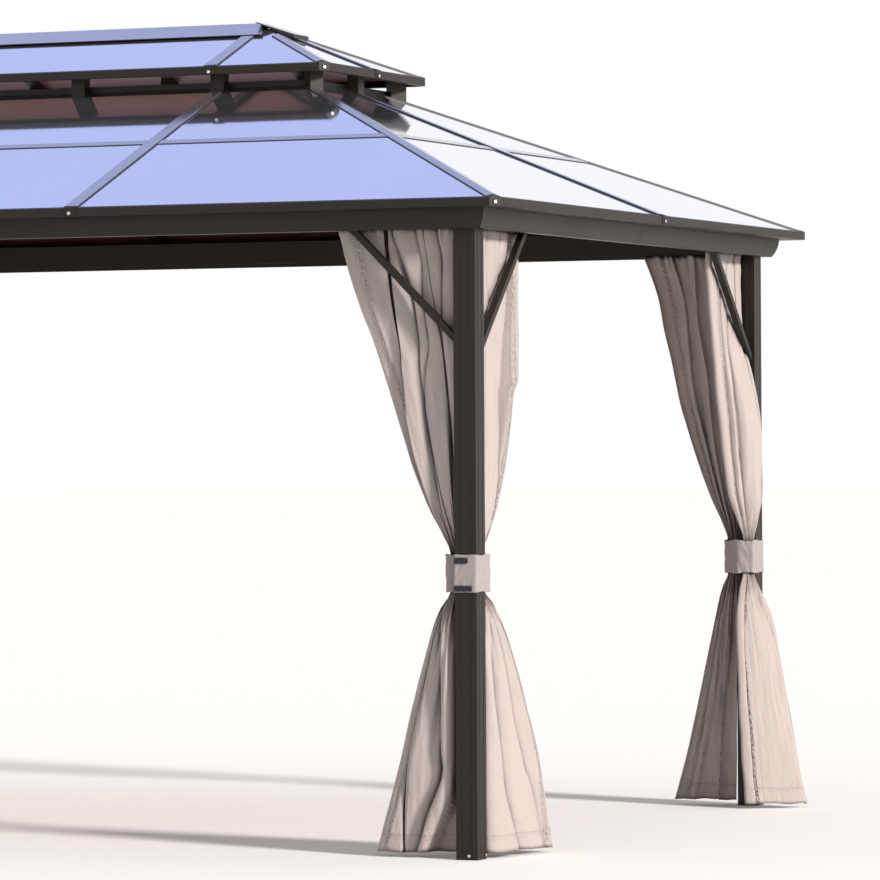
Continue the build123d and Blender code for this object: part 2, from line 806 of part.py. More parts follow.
# Corner curtains: two gathered panels, narrow at the tie and wide again at the hem
for corner, (sx, sy) in CORNERS.items():
    near = post_size + curtain_gap
    line_low = rail_line - curtain_thickness / 2
    line_high = rail_line + curtain_thickness / 2
    top_z, tie_top_z, tie_bottom_z, hem_z = curtain_levels()
    long_side_panel = (
        (hem_z, curtain_hem_length_long_side, line_low, line_high + curtain_hem_inward),
        (tie_bottom_z, curtain_waist_length, line_low, line_high),
        (tie_top_z, curtain_waist_length, line_low, line_high),
        (top_z, curtain_top_length, line_low, line_high),
    )
    short_side_panel = (
        (hem_z, curtain_hem_length_short_side, -curtain_hem_outward, line_high),
        (tie_bottom_z, curtain_waist_length, line_low, line_high),
        (tie_top_z, curtain_waist_length, line_low, line_high),
        (curtain_belly_height, curtain_belly_length, line_low, line_high),
        (top_z, curtain_top_length, line_low, line_high),
    )
    with BuildPart() as curtain:
        for along_x, levels in ((True, long_side_panel), (False, short_side_panel)):
            for z, length, low, high in levels:
                run_middle = near + length / 2
                line_middle = (low + high) / 2
                inward_x = run_middle if along_x else line_middle
                inward_y = line_middle if along_x else run_middle
                with BuildSketch(Plane.XY.offset(z)):
                    with Locations((sx * (frame_length / 2 - inward_x), sy * (frame_width / 2 - inward_y))):
                        Rectangle(length if along_x else high - low, high - low if along_x else length)
            loft(ruled=True)
    curtain.part.label = f"curtain_{corner}"
    export_step(curtain.part, f"parts/curtain_{corner}.step")

# Ties: bands round each post and the waists of its two curtain panels
with BuildPart() as curtain_ties:
    for sx, sy in CORNERS.values():
        waist_end = post_size + curtain_gap + curtain_waist_length
        waist_high = rail_line + curtain_thickness / 2
        loop = [
            (0, 0),
            (waist_end, 0),
            (waist_end, waist_high),
            (waist_high, waist_end),
            (0, waist_end),
        ]
        corner_x = sx * frame_length / 2
        corner_y = sy * frame_width / 2
        with BuildSketch(Plane.XY.offset(tie_height - tie_band / 2)) as band:
            with BuildLine():
                Polyline(*[(corner_x - sx * i, corner_y - sy * j) for i, j in loop], close=True)
            make_face()
        inner = offset(band.sketch, amount=tie_gap, kind=Kind.INTERSECTION, mode=Mode.PRIVATE)
        outer = offset(band.sketch, amount=tie_gap + tie_thickness, kind=Kind.INTERSECTION, mode=Mode.PRIVATE)
        extrude(outer, amount=tie_band)
        extrude(inner, amount=tie_band, mode=Mode.SUBTRACT)
curtain_ties.part.label = "curtain_ties"
export_step(curtain_ties.part, "parts/curtain_ties.step")
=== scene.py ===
# %% [markdown]
# # A hardtop garden gazebo
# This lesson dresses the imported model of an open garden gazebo. The metal frame, the roof panels and their
# caps already come from the CAD model, so they only need good materials. The gathered corner curtains, the
# ties and the screws are made here, because cloth and small fasteners are easier to shape in Blender.

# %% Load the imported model
import json
import math

import bpy
from mathutils import Matrix, Vector, noise


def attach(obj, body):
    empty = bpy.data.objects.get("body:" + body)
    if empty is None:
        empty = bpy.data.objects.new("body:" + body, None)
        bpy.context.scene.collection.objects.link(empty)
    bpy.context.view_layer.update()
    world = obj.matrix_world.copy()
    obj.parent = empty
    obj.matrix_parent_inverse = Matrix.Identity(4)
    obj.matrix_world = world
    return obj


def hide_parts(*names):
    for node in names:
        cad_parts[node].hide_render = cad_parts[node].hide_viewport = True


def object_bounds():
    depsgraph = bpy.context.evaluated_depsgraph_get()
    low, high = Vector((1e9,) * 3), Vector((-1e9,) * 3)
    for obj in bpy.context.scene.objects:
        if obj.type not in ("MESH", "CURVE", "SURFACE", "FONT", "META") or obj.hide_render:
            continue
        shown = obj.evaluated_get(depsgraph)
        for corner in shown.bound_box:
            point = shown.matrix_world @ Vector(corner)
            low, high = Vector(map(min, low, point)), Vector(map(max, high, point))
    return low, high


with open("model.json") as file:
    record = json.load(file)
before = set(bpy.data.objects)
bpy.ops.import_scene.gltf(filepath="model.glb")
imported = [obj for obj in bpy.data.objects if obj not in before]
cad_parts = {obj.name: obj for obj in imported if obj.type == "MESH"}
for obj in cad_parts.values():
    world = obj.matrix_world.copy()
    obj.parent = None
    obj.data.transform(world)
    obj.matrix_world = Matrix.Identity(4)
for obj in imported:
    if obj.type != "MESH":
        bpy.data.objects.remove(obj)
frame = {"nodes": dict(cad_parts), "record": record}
nodes = frame["nodes"]
cad_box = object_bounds()
print(len(nodes), "CAD nodes in a box of", [round(v, 3) for v in cad_box[1] - cad_box[0]], "m")

# %% [markdown]
# ## The camera
# A long lens far away keeps upright lines nearly parallel, as in the photograph. Its place was worked out from
# the edges of the roof and the posts, and it stands a little below the eaves, so the underside of the back beam
# shows. A camera looks along its own -Z, so its axes are set as the columns of a matrix.

# %% Make the camera
picture_size = 880
focal_pixels = 5130
camera_place = Vector((8.779, -17.712, 1.394))
turn_left, tilt_up, roll = (math.radians(v) for v in (22.884, 0.151, -0.301))

level = math.cos(tilt_up)
look = Vector((-math.sin(turn_left) * level, math.cos(turn_left) * level, math.sin(tilt_up)))
level_right = Vector((math.cos(turn_left), math.sin(turn_left), 0))
level_up = level_right.cross(look)
right = level_right * math.cos(roll) + level_up * math.sin(roll)
up = -level_right * math.sin(roll) + level_up * math.cos(roll)

camera_data = bpy.data.cameras.new("photo_camera")
camera_data.sensor_width = 36
camera_data.lens = camera_data.sensor_width * focal_pixels / picture_size
camera_data.clip_end = 400
camera = bpy.data.objects.new("photo_camera", camera_data)
camera.matrix_world = Matrix.Translation(camera_place) @ Matrix((right, up, -look)).transposed().to_4x4()
bpy.context.collection.objects.link(camera)
bpy.context.scene.camera = camera
print("lens", round(camera_data.lens, 1), "mm")

# %% [markdown]
# ## Helpers for materials
# Colours are written as the hex values that a colour picker shows, which are sRGB, and Blender's shaders want
# linear values, so one function turns them. Another adds a node and sets or links its inputs.

# %% Colour and node helpers
MM = 0.001  # a millimetre, in Blender's metres
MIX_COLOURS = ("ShaderNodeMix", {"data_type": "RGBA"})  # its two colours are the sockets 6 and 7


def linear(hex_colour):
    values = [int(hex_colour[i : i + 2], 16) / 255 for i in (1, 3, 5)]
    return (*[v / 12.92 if v <= 0.04045 else ((v + 0.055) / 1.055) ** 2.4 for v in values], 1)


def set_inputs(node, **inputs):
    """Sets inputs, named with _ for a space or numbered as in _6. A node stands for its first output in use."""
    for name, value in inputs.items():
        socket = node.inputs[int(name[1:]) if name[1:].isdigit() else name.replace("_", " ")]
        if isinstance(value, bpy.types.Node):
            value = next(output for output in value.outputs if output.enabled)
        if isinstance(value, bpy.types.NodeSocket):
            node.id_data.links.new(value, socket)
        else:
            socket.default_value = linear(value) if isinstance(value, str) else value


def add_node(tree, kind, settings=None, **inputs):
    """Adds a node with its settings, and sets or links its inputs."""
    node = tree.nodes.new(kind)
    for name, value in (settings or {}).items():
        setattr(node, name, value)
    set_inputs(node, **inputs)
    return node


def new_material(name):
    material = bpy.data.materials.new(name)
    material.use_nodes = True
    return material, material.node_tree, material.node_tree.nodes["Principled BSDF"]


print("the grey #808080 is", round(linear("#808080")[0], 3), "in linear light")

# %% [markdown]
# ## Powder-coated aluminium
# The posts, beams, fascias and braces are extruded aluminium with a dark brown powder coat, sprayed on dry and
# baked. The coat is a plastic film, so the material isn't metallic: it is a dark colour under a satin gloss.
# Baked powder keeps a faint orange peel a few millimetres wide, which breaks up the highlights, and slow clouds
# of tone keep the long faces from looking painted by a computer.

# %% Powder coat
powder_coat, tree, shader = new_material("powder_coated_aluminium")
place = add_node(tree, "ShaderNodeTexCoord").outputs["Object"]
clouds = add_node(tree, "ShaderNodeTexNoise", Vector=place, Scale=1 / (333 * MM), Detail=3.0, Roughness=0.6)
orange_peel = add_node(tree, "ShaderNodeTexNoise", Vector=place, Scale=1 / (4 * MM), Detail=2.0)
set_inputs(
    shader,
    Base_Color=add_node(tree, *MIX_COLOURS, Factor=clouds, _6="#19140E", _7="#211A13"),
    Roughness=add_node(tree, "ShaderNodeMapRange", Value=clouds, To_Min=0.40, To_Max=0.52),
    Normal=add_node(tree, "ShaderNodeBump", Strength=0.08, Distance=0.2 * MM, Height=orange_peel),
    IOR=1.5,
    Specular_IOR_Level=0.3,
)
print(powder_coat.name, "has", len(tree.nodes), "nodes")

# %% [markdown]
# ## Roof sheet
# The roof is bronze polycarbonate, which throws the sky back: it is periwinkle where it mirrors the sky, white
# where it mirrors the bright horizon and dark where it mirrors the upper tier. Its top is painted as a pale
# mirror metal, a painted reflection that stands in for a sky far brighter than this one. Underneath it shows the
# warm bronze of the plastic, painted lighter as painted light for the sun that shines through the sheet.
# The sheet's normal tells the two apart. An extruded sheet is never quite flat, so its reflections ripple.

# %% Tell a top from a side or an underside
def faces_up(tree, least):
    """1 where the face's own normal rises by more than least, and 0 elsewhere."""
    normal = add_node(tree, "ShaderNodeNewGeometry").outputs["True Normal"]
    rise = add_node(tree, "ShaderNodeSeparateXYZ", Vector=normal).outputs["Z"]
    return add_node(tree, "ShaderNodeMath", {"operation": "GREATER_THAN"}, _0=rise, _1=least)


# %% Polycarbonate sheet
bronze_sheet, tree, shader = new_material("bronze_polycarbonate_sheet")
place = add_node(tree, "ShaderNodeTexCoord").outputs["Object"]
top = faces_up(tree, 0.5)
clouds = add_node(tree, "ShaderNodeTexNoise", Vector=place, Scale=1 / (455 * MM), Detail=2.0)
# painted reflection: the top faces' pale mirror colour stands in for a bright sky
painted_sky_mirror = add_node(tree, *MIX_COLOURS, Factor=clouds, _6="#E2E5F6", _7="#E8EBFA")
waves = add_node(tree, "ShaderNodeTexNoise", Vector=place, Scale=1 / (167 * MM), Detail=1.0)
# painted light: the underside's bronze is made lighter, standing in for sunlight through the sheet
set_inputs(
    shader,
    Base_Color=add_node(tree, *MIX_COLOURS, Factor=top, _6="#80524A", _7=painted_sky_mirror),
    Metallic=add_node(tree, "ShaderNodeMath", {"operation": "MULTIPLY"}, _0=top, _1=0.96),
    Roughness=add_node(tree, "ShaderNodeMapRange", Value=top, To_Min=0.40, To_Max=0.06),
    Normal=add_node(tree, "ShaderNodeBump", Strength=0.03, Distance=4 * MM, Height=waves),
)
print(bronze_sheet.name, "has", len(tree.nodes), "nodes")

# %% [markdown]
# ## Caps and strips over the joints
# The caps are aluminium, with a pale, slightly blue mirror metal on top that mirrors the sky nearly as well as
# the sheets. Their sides are painted dark brown as painted shade of the side walls, which draws the thin dark
# lines along them.

# %% Roof caps
sky_cap, tree, shader = new_material("filmed_cap_aluminium")
place = add_node(tree, "ShaderNodeTexCoord").outputs["Object"]
top = faces_up(tree, 0.3)
streaks = add_node(tree, "ShaderNodeTexNoise", Vector=place, Scale=1 / (111 * MM), Detail=4.0)
pale_cap_metal = add_node(tree, *MIX_COLOURS, Factor=streaks, _6="#AEB0BE", _7="#BABCC9")
# painted shade: faces that don't face up get the dark brown that stands in for the shaded side walls
set_inputs(
    shader,
    Base_Color=add_node(tree, *MIX_COLOURS, Factor=top, _6="#221C1B", _7=pale_cap_metal),
    Metallic=add_node(tree, "ShaderNodeMath", {"operation": "MULTIPLY"}, _0=top, _1=0.9),
    Roughness=add_node(tree, "ShaderNodeMapRange", Value=top, To_Min=0.5, To_Max=0.18),
)
print(sky_cap.name, "has", len(tree.nodes), "nodes")

# %% [markdown]
# ## Woven polyester
# The curtains are thin woven polyester, so they are matte, with a soft sheen at the edges of the folds. The
# weave is drawn by the cloth's own UV map, which counts in metres from the leading edge and the bottom, so it
# follows the folds. Hems are sewn 60 mm in from both, and their stitches pull the cloth into small puckers. The
# valleys between the folds see little light, which an ambient occlusion node deepens a little.

# %% Sewn hems
hem_inset = 60 * MM
stitch_reach, pucker_reach = 3 * MM, 18 * MM  # either side of the stitches
pucker_depths = {"X": 16 * MM, "Y": 6 * MM}  # at the leading edge and at the bottom
stitch_strength = 0.3
fading = {"To_Min": 1.0, "To_Max": 0.0}


def sewn_hems(tree, across, tone, normal):
    """Adds the stitches to a colour and their puckers to a normal."""
    split = add_node(tree, "ShaderNodeSeparateXYZ", Vector=across)
    for axis, depth in pucker_depths.items():
        away = add_node(tree, "ShaderNodeMath", {"operation": "SUBTRACT"}, _0=split.outputs[axis], _1=hem_inset)
        distance = add_node(tree, "ShaderNodeMath", {"operation": "ABSOLUTE"}, _0=away)
        near = add_node(tree, "ShaderNodeMapRange", Value=distance, From_Max=pucker_reach, **fading)
        stitch = add_node(tree, "ShaderNodeMapRange", Value=distance, From_Max=stitch_reach, **fading)
        stitch = add_node(tree, "ShaderNodeMath", {"operation": "MULTIPLY"}, _0=stitch, _1=stitch_strength)
        tone = add_node(tree, *MIX_COLOURS, Factor=stitch, _6=tone, _7="#6F6462")
        puckers = add_node(tree, "ShaderNodeTexNoise", Vector=across, Scale=1 / (12.5 * MM), Detail=1.0)
        pull = add_node(tree, "ShaderNodeMath", {"operation": "MULTIPLY"}, _0=puckers, _1=near)
        normal = add_node(tree, "ShaderNodeBump", Strength=1.0, Distance=depth, Height=pull, Normal=normal)
    return tone, normal


# %% Curtain cloth
thread_size = 4 * MM  # real threads are a tenth of this, too fine to show


def woven_polyester(name, dark, light, hemmed=False):
    material, tree, cloth = new_material(name)
    place = add_node(tree, "ShaderNodeTexCoord").outputs["Object"]
    across = add_node(tree, "ShaderNodeUVMap", {"uv_map": "UVMap"})
    patches = add_node(tree, "ShaderNodeTexNoise", Vector=place, Scale=1 / (200 * MM), Detail=4.0)
    tone = add_node(tree, *MIX_COLOURS, Factor=patches, _6=dark, _7=light)
    light_in = add_node(tree, "ShaderNodeAmbientOcclusion", {"samples": 8}, Distance=45 * MM).outputs["AO"]
    valley = add_node(tree, "ShaderNodeMapRange", Value=light_in, From_Min=0.25, From_Max=0.8, **fading)
    tone = add_node(tree, *MIX_COLOURS, Factor=valley, _6=tone, _7="#4A4045")
    threads = add_node(tree, "ShaderNodeTexNoise", Vector=across, Scale=1 / thread_size, Detail=2.0)
    weave = add_node(tree, "ShaderNodeBump", Strength=0.2, Distance=1 * MM, Height=threads)
    crinkle = add_node(tree, "ShaderNodeTexNoise", Vector=across, Scale=1 / (62.5 * MM), Detail=4.0)
    set_inputs(crinkle, Roughness=0.6)
    normal = add_node(tree, "ShaderNodeBump", Strength=0.5, Distance=8 * MM, Height=crinkle, Normal=weave)
    if hemmed:
        tone, normal = sewn_hems(tree, across, tone, normal)
    set_inputs(cloth, Base_Color=tone, Normal=normal, Roughness=0.85, Specular_IOR_Level=0.1)
    set_inputs(cloth, Sheen_Weight=0.1, Sheen_Roughness=0.4)
    print(name, "has", len(tree.nodes), "nodes")
    return material


curtain_cloth = woven_polyester("woven_polyester_curtain", "#A69B98", "#B3A8A4", hemmed=True)
tie_cloth = woven_polyester("woven_polyester_tie", "#948D8C", "#9F9796")

# %% Put the materials on the CAD nodes
finishes = {"frame_metal": powder_coat, "cap_metal": sky_cap, "roof_panel": bronze_sheet}
slot_of = {part["node"]: part["material_slot"] for part in frame["record"]["subparts"]}
for name, thing in nodes.items():
    finish = finishes.get(slot_of[name], curtain_cloth)
    thing.data.materials.clear()
    thing.data.materials.append(finish)
print({finish.name: sum(n.data.materials[0] == finish for n in nodes.values()) for finish in finishes.values()})

# %% [markdown]
# ## The gathered curtains
# Each corner has two curtains on rails, one for the long side and one for the short side. They are drawn
# together where the tie holds them and flare out again to the hem. A cloth solver could drape them, but it needs
# long runs to settle, so a flat grid is bent. Its rows are heights. Each row runs from the post to the
# leading edge and is divided by valleys, and between two valleys the cloth bulges out as a round fold.

# %% Sizes of the curtains
post_corner = Vector((2.060, 1.480))
curtain_top = 2.175
hem_height = 0.018
tie_top, tie_bottom = 1.046, 0.918
tie_middle = (tie_top + tie_bottom) / 2
print("the curtains drop", round(curtain_top - hem_height, 3), "m")

# %% [markdown]
# The tables below were read off the photograph at a few heights, and the curtain needs a value at every height.
# Straight lines between the rows would show as kinks, so a smooth curve runs through them. Its slope is zero
# wherever a column turns back, so that it never bulges past a row.

# %% A smooth value between the rows of a table
def at_height(rows, column, z):
    """The value of a column at height z. The rows run from top to bottom."""
    z = min(max(z, rows[-1][0]), rows[0][0])
    last = len(rows) - 1
    i = max(k for k in range(last) if rows[k][0] >= z or k == 0)

    def rate(k):
        return (rows[k + 1][column] - rows[k][column]) / (rows[k + 1][0] - rows[k][0])

    def tangent(k):
        if k in (0, last):
            return rate(min(k, last - 1))
        a, b = rate(k - 1), rate(k)
        return 0 if a * b <= 0 else 2 * a * b / (a + b)

    step = rows[i + 1][0] - rows[i][0]
    t = (z - rows[i][0]) / step
    start, end = rows[i][column], rows[i + 1][column]
    rise = t * t * (3 - 2 * t)
    leave = t * (1 - t) ** 2 * step * tangent(i)
    arrive = t * t * (1 - t) * step * tangent(i + 1)
    return start + (end - start) * rise + leave - arrive


def ease(value, low, high):
    """0 below low, 1 above high and a smooth step between."""
    t = min(max((value - low) / (high - low), 0), 1)
    return t * t * (3 - 2 * t)


print("a quarter of the way down from 0 to 1:", at_height([(1, 0), (0, 1)], 1, 0.75))

# %% [markdown]
# The first table of a panel has a row for each height: the height, the post-side edge and the leading edge,
# both from the post's outer corner, and how far inside the posts' outer faces each of them hangs. The other two
# list the folds above and below the tie, from the post outwards. A fold has its height as a share of its width,
# how far its ridge leans from the middle, and the valley beyond it as heights and shares of the curtain's width.
# The last fold ends at the leading edge, so it has no valley. A negative fold turns inwards.

# %% Tables of the front panels
front_long = {
    "edges": [
        (2.176, 0.086, 0.540, 0.062, 0.062),
        (2.054, 0.085, 0.511, 0.062, 0.062),
        (1.892, 0.084, 0.456, 0.062, 0.062),
        (1.789, 0.084, 0.412, 0.061, 0.062),
        (1.650, 0.084, 0.363, 0.061, 0.062),
        (1.476, 0.083, 0.305, 0.060, 0.062),
        (1.338, 0.083, 0.259, 0.060, 0.062),
        (1.199, 0.083, 0.200, 0.060, 0.061),
        (1.110, 0.083, 0.150, 0.060, 0.060),
        (1.046, 0.084, 0.122, 0.060, 0.060),
        (0.918, 0.084, 0.122, 0.060, 0.060),
        (0.860, 0.084, 0.160, 0.060, 0.061),
        (0.810, 0.084, 0.184, 0.060, 0.062),
        (0.668, 0.085, 0.228, 0.060, 0.064),
        (0.508, 0.087, 0.273, 0.060, 0.066),
        (0.272, 0.089, 0.334, 0.060, 0.070),
        (0.010, 0.092, 0.410, 0.060, 0.075),
    ],
    "above": [
        (0.8, 0.1, [(2.15, 0.17), (2.06, 0.14), (1.93, 0.16), (1.79, 0.19), (1.65, 0.17), (1.07, 0.10)]),
        (0.9, 0.2, [(2.15, 0.29), (1.93, 0.25), (1.79, 0.21), (1.65, 0.18), (1.51, 0.15), (1.07, 0.22)]),
        (
            0.6,
            -0.2,
            [(2.15, 0.36), (2.06, 0.33), (1.93, 0.36), (1.79, 0.36), (1.65, 0.47), (1.51, 0.53), (1.07, 0.45)],
        ),
        (
            0.8,
            0.1,
            [(2.15, 0.54), (2.06, 0.49), (1.93, 0.45), (1.79, 0.47), (1.65, 0.52), (1.45, 0.51), (1.2, 0.6)],
        ),
        (
            0.9,
            0.25,
            [(2.15, 0.58), (2.06, 0.59), (1.93, 0.62), (1.79, 0.67), (1.65, 0.74), (1.45, 0.84), (1.2, 0.87)],
        ),
        (
            -0.9,
            0.0,
            [(2.15, 0.63), (2.06, 0.64), (1.93, 0.67), (1.79, 0.71), (1.65, 0.78), (1.45, 0.89), (1.2, 0.92)],
        ),
        (0.12, -0.3, None),
    ],
    "below": [
        (-0.9, 0.0, [(0.85, 0.05), (0.72, 0.02), (0.34, 0.02), (0.24, 0.05), (0.13, 0.20), (0.01, 0.36)]),
        (
            1.8,
            0.1,
            [(0.85, 0.70), (0.72, 0.50), (0.54, 0.36), (0.36, 0.28), (0.31, 0.24), (0.15, 0.39), (0.01, 0.50)],
        ),
        (0.45, 0.15, [(0.85, 0.86), (0.61, 0.84), (0.40, 0.86), (0.23, 0.80), (0.09, 0.72), (0.01, 0.67)]),
        (0.6, -0.25, None),
    ],
}
front_short = {
    "edges": [
        (2.176, 0.086, 0.537, 0.061, 0.061),
        (2.100, 0.085, 0.536, 0.061, 0.061),
        (1.800, 0.085, 0.530, 0.061, 0.061),
        (1.650, 0.084, 0.520, 0.060, 0.060),
        (1.610, 0.084, 0.480, 0.058, 0.060),
        (1.510, 0.083, 0.440, 0.055, 0.058),
        (1.335, 0.083, 0.370, 0.048, 0.054),
        (1.200, 0.083, 0.290, 0.040, 0.048),
        (1.110, 0.083, 0.190, 0.030, 0.036),
        (1.046, 0.084, 0.118, 0.026, 0.030),
        (0.918, 0.084, 0.118, 0.026, 0.026),
        (0.880, 0.085, 0.165, 0.026, 0.020),
        (0.730, 0.086, 0.250, 0.030, 0.004),
        (0.554, 0.087, 0.310, 0.030, -0.014),
        (0.327, 0.088, 0.385, 0.028, -0.040),
        (0.131, 0.089, 0.425, 0.026, -0.060),
        (0.010, 0.090, 0.445, 0.024, -0.070),
    ],
    "above": [
        (0.8, 0.0, [(2.15, 0.30), (1.93, 0.34), (1.65, 0.25), (1.40, 0.22), (1.07, 0.25)]),
        (0.9, 0.2, [(2.15, 0.58), (2.03, 0.56), (1.93, 0.52), (1.80, 0.50), (1.50, 0.52), (1.2, 0.55)]),
        (0.9, 0.1, [(2.15, 0.76), (1.93, 0.72), (1.77, 0.64), (1.65, 0.60), (1.45, 0.66), (1.2, 0.75)]),
        (-0.8, 0.0, [(2.15, 0.88), (1.93, 0.86), (1.79, 0.84), (1.63, 0.84), (1.44, 0.82), (1.2, 0.84)]),
        (0.7, 0.0, None),
    ],
    "below": [
        (1.2, 0.1, [(0.86, 0.30), (0.57, 0.24), (0.46, 0.26), (0.26, 0.28), (0.15, 0.33), (0.01, 0.42)]),
        (1.2, 0.2, [(0.86, 0.60), (0.71, 0.60), (0.53, 0.60), (0.33, 0.64), (0.21, 0.74), (0.01, 0.80)]),
        (1.1, 0.1, None),
    ],
}
print("front folds", [len(panel[part]) for panel in (front_long, front_short) for part in ("above", "below")])

# %% [markdown]
# The panels at the back hang a little differently: the breeze has drawn the long side's panel in, and the short
# side's panel swings out in front of its post with one broad fold.

# %% Tables of the back panels
back_long = {
    "edges": [
        (2.176, 0.086, 0.470, 0.062, 0.062),
        (2.000, 0.085, 0.406, 0.062, 0.062),
        (1.880, 0.084, 0.383, 0.062, 0.062),
        (1.761, 0.084, 0.354, 0.061, 0.062),
        (1.601, 0.084, 0.321, 0.061, 0.062),
        (1.502, 0.083, 0.292, 0.060, 0.062),
        (1.343, 0.083, 0.238, 0.060, 0.062),
        (1.204, 0.083, 0.185, 0.060, 0.061),
        (1.110, 0.083, 0.142, 0.060, 0.060),
        (1.046, 0.084, 0.122, 0.060, 0.060),
        (0.918, 0.084, 0.122, 0.060, 0.060),
        (0.860, 0.084, 0.145, 0.060, 0.061),
        (0.650, 0.085, 0.192, 0.060, 0.064),
        (0.412, 0.087, 0.244, 0.060, 0.066),
        (0.213, 0.089, 0.290, 0.060, 0.070),
        (0.010, 0.092, 0.345, 0.060, 0.075),
    ],
    "above": [
        (0.8, 0.1, [(2.15, 0.24), (1.93, 0.20), (1.65, 0.25), (1.40, 0.22), (1.07, 0.2)]),
        (0.9, -0.1, [(2.15, 0.45), (1.93, 0.50), (1.65, 0.46), (1.40, 0.50), (1.07, 0.5)]),
        (0.8, 0.2, [(2.15, 0.70), (1.93, 0.66), (1.65, 0.72), (1.40, 0.70), (1.07, 0.7)]),
        (0.4, 0.0, None),
    ],
    "below": [
        (0.8, 0.1, [(0.85, 0.35), (0.60, 0.30), (0.40, 0.36), (0.20, 0.33), (0.01, 0.30)]),
        (0.8, -0.1, [(0.85, 0.60), (0.60, 0.66), (0.40, 0.62), (0.20, 0.68), (0.01, 0.70)]),
        (0.6, 0.0, None),
    ],
}
back_short = {
    "edges": [
        (2.176, 0.086, 0.470, 0.061, 0.061),
        (2.000, 0.085, 0.430, 0.060, 0.061),
        (1.850, 0.086, 0.400, 0.048, 0.061),
        (1.750, 0.088, 0.375, 0.020, 0.060),
        (1.600, 0.092, 0.345, -0.015, 0.058),
        (1.440, 0.092, 0.310, -0.034, 0.054),
        (1.240, 0.088, 0.250, -0.036, 0.050),
        (1.110, 0.085, 0.160, -0.015, 0.040),
        (1.046, 0.084, 0.118, 0.006, 0.034),
        (0.918, 0.084, 0.118, 0.004, 0.030),
        (0.860, 0.086, 0.160, -0.020, 0.030),
        (0.723, 0.090, 0.215, -0.080, 0.026),
        (0.560, 0.094, 0.235, -0.115, 0.016),
        (0.400, 0.098, 0.250, -0.145, 0.006),
        (0.200, 0.102, 0.260, -0.185, -0.010),
        (0.010, 0.106, 0.270, -0.225, -0.026),
    ],
    "above": [
        (0.7, 0.1, [(2.15, 0.22), (1.93, 0.20), (1.75, 0.12), (1.40, 0.08), (1.07, 0.1)]),
        (0.6, 0.1, [(2.15, 0.45), (1.93, 0.50), (1.75, 0.58), (1.40, 0.60), (1.07, 0.6)]),
        (0.8, 0.2, [(2.15, 0.75), (1.93, 0.74), (1.65, 0.78), (1.40, 0.80), (1.07, 0.8)]),
        (0.6, 0.0, None),
    ],
    "below": [
        (0.5, 0.0, [(0.87, 0.35), (0.80, 0.28), (0.60, 0.10), (0.20, 0.05), (0.01, 0.05)]),
        (0.3, 0.0, [(0.87, 0.70), (0.80, 0.78), (0.60, 0.86), (0.20, 0.88), (0.01, 0.88)]),
        (0.8, 0.0, None),
    ],
}
print("back folds", [len(panel[part]) for panel in (back_long, back_short) for part in ("above", "below")])

# %% [markdown]
# A fold's outline is a wide arch, from 4t(1 - t) raised to a power below one, so that it is round on top and
# steep at its sides. A leaning fold has that arch pushed to one side. However full a fold is, the cloth around
# it limits how deep it gets, so the bulge flattens out towards a limit.

# %% The bulge of a fold
arch_power = 0.45
drift_share = 0.6  # how much of a ridge's lean moves the cloth sideways


def deepest_fold(z):
    """Folds hang shallow below the rail, deeper from a height of 1.8 m down, and deepest below the tie."""
    return (24 + 26 * ease(1.80 - z, 0.0, 0.35) + 15 * ease(0.9 - z, 0.0, 0.2)) * MM


def fold_at(folds, u, z, width):
    """How far a point bulges outwards and moves sideways, from the fold that it is on."""
    start = 0.0
    for fullness, lean, valley in folds:
        stop = 1.0 if valley is None else min(max(at_height(valley, 1, z), start), 1.0)
        if u <= stop or valley is None:
            break
        start = stop
    span = max(stop - start, 1e-4)
    t = min(max((u - start) / span, 0), 1)
    skewed = t ** (math.log(0.5) / math.log(0.5 + lean))
    bulge = fullness * span * width * (4 * skewed * (1 - skewed)) ** arch_power
    most = deepest_fold(z)
    bulge = math.copysign(most * (1 - math.exp(-abs(bulge) / most)), bulge)
    return bulge, drift_share * lean * span * width * math.sin(math.pi * skewed) ** 2


print("deepest fold", [round(deepest_fold(z) / MM) for z in (2.0, 1.2, 0.3)], "mm at 2.0, 1.2 and 0.3 m")

# %% [markdown]
# Where the tie and the rail gather the cloth, it bunches into small pleats, which die out within a hand's
# width. The rest of the cloth has slanting drags and small creases, from smooth noise. Noise gives the same
# value for the same place and seed, so each curtain has its own creases and keeps them on every run.

# %% Gathers and creases
pleats = 11  # across a curtain


def gathers(u, z, seed):
    from_top = curtain_top - z
    past_tie = max(abs(z - tie_middle) - 20 * MM, 0)
    wander = noise.noise(Vector((3 * u, 1.2 * z, seed + 5)))
    pleat = math.sin(2 * math.pi * (pleats * u + 1.4 * wander))
    depth = 11 * pleat * math.exp(-past_tie / (55 * MM))
    depth += 1.5 * pleat * math.exp(-past_tie / (180 * MM))
    depth += 4 * pleat * math.exp(-from_top / (50 * MM))
    depth += 11 * noise.noise(Vector((9 * u, 22 * z, seed + 9))) * math.exp(-from_top / (60 * MM))
    return depth * MM


def creases(u, z, seed):
    loose = ease(curtain_top - z, 0.0, 0.3)
    drag = noise.noise(Vector((7 * u + 1.5 * z, 2.6 * z - 3 * u, seed + 11)))
    crinkle = noise.noise(Vector((15 * u - 4 * z, 9 * z + 3 * u, seed + 13)))
    return (6 * drag * loose + 3 * crinkle) * MM


# %% Bend a grid into a gathered curtain
cloth_depth = 8 * MM  # of a curtain's middle behind the line that its folds bulge from
tie_reach = 75 * MM  # from the middle of the tie to where the folds are full again


